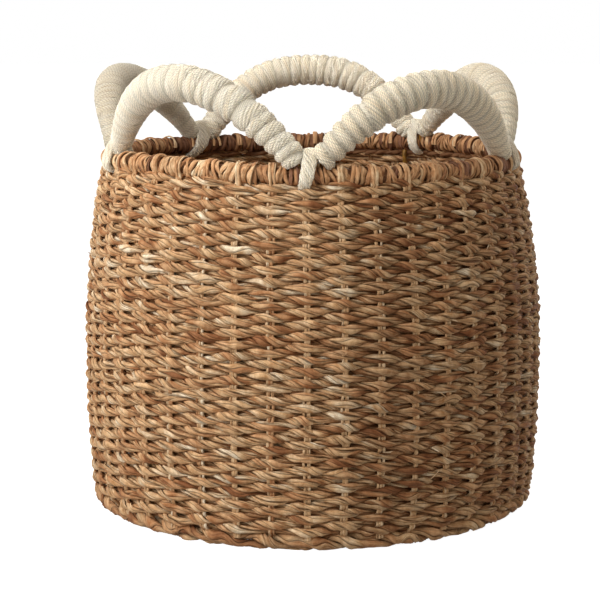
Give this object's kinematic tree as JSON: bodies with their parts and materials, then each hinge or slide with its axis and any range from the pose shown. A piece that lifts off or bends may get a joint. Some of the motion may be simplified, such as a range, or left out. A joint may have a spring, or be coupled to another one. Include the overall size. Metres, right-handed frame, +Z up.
{
  "type": "woven laundry basket",
  "caption": "Round woven leaf laundry basket on a wire frame, with a bound rim and a crown of cord-wrapped arch handles lashed along it.",
  "frame": {"origin": "on the floor, at the centre of the basket's foot", "axes": "+Z up along the basket's axis, -Y to the front, where one lashing stands"},
  "size_m": [0.439, 0.4398, 0.4175],
  "materials": {
    "woven_leaf": "twisted dried leaf strands, tan to brown, matt with a faint sheen",
    "bound_leaf": "narrow dried leaf strips wound closely, matt",
    "cotton_cord": "undyed soft cotton cord, matt",
    "padding_fibre": "loose grass and cotton filling",
    "frame_wire": "gold-brown lacquered steel wire"
  },
  "bodies": {
    "root": {"weave_course_1": "woven_leaf", "weave_course_2": "woven_leaf", "weave_course_3": "woven_leaf", "weave_course_4": "woven_leaf", "base_edge_rope": "woven_leaf", "woven_base": "woven_leaf", "frame_rim_hoop": "frame_wire", "frame_foot_hoop": "frame_wire", "frame_upright_1": "frame_wire", "frame_upright_2": "frame_wire", "frame_upright_3": "frame_wire", "frame_upright_4": "frame_wire", "frame_upright_5": "frame_wire", "handle_core_1": "frame_wire", "handle_core_2": "frame_wire", "handle_core_3": "frame_wire", "handle_core_4": "frame_wire", "handle_core_5": "frame_wire", "handle_padding_1": "padding_fibre", "handle_padding_2": "padding_fibre", "handle_padding_3": "padding_fibre", "handle_padding_4": "padding_fibre", "handle_padding_5": "padding_fibre", "handle_wrap_1": "cotton_cord", "handle_wrap_2": "cotton_cord", "handle_wrap_3": "cotton_cord", "handle_wrap_4": "cotton_cord", "handle_wrap_5": "cotton_cord", "lashing_1": "cotton_cord", "lashing_2": "cotton_cord", "lashing_3": "cotton_cord", "lashing_4": "cotton_cord", "lashing_5": "cotton_cord", "rim_binding": "bound_leaf"}
  },
  "joints": []
}
